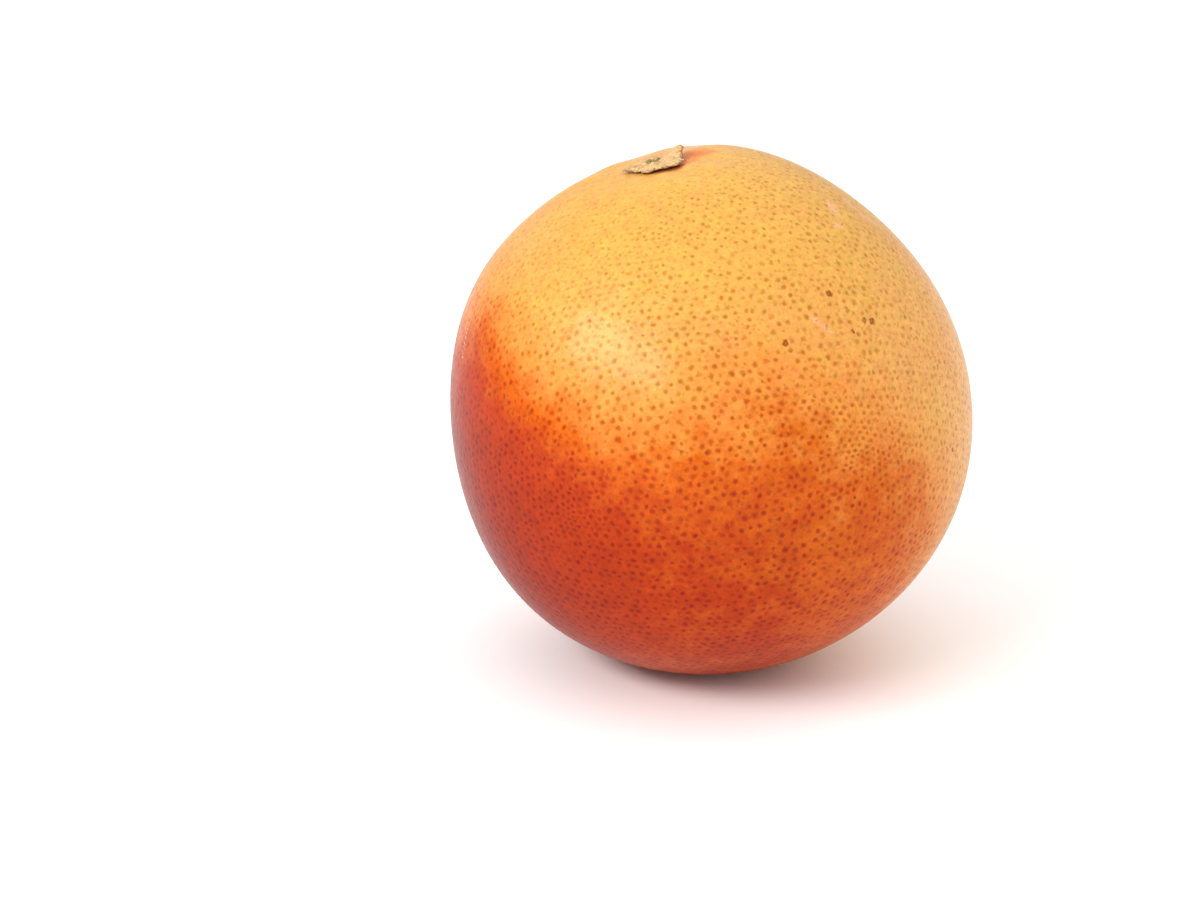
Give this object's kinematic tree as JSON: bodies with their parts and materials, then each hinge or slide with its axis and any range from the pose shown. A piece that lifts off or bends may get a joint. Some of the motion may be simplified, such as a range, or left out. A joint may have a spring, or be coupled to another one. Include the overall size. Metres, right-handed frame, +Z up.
{
  "type": "grapefruit",
  "caption": "Whole round grapefruit with a finely pitted peel and a dry star-shaped calyx in a shallow well at its stem end, lying on a small flat spot.",
  "frame": {"origin": "on the flat spot that the fruit lies on, midway between its sides", "axes": "+Z up; the stem end leans 12 degrees from +Z towards -X; the side that the picture shows faces -Y"},
  "size_m": [0.1086, 0.1084, 0.1096],
  "materials": {
    "peel": "satin",
    "dry_calyx": "matte"
  },
  "bodies": {
    "root": {"fruit": "peel", "calyx": "dry_calyx"}
  },
  "joints": []
}
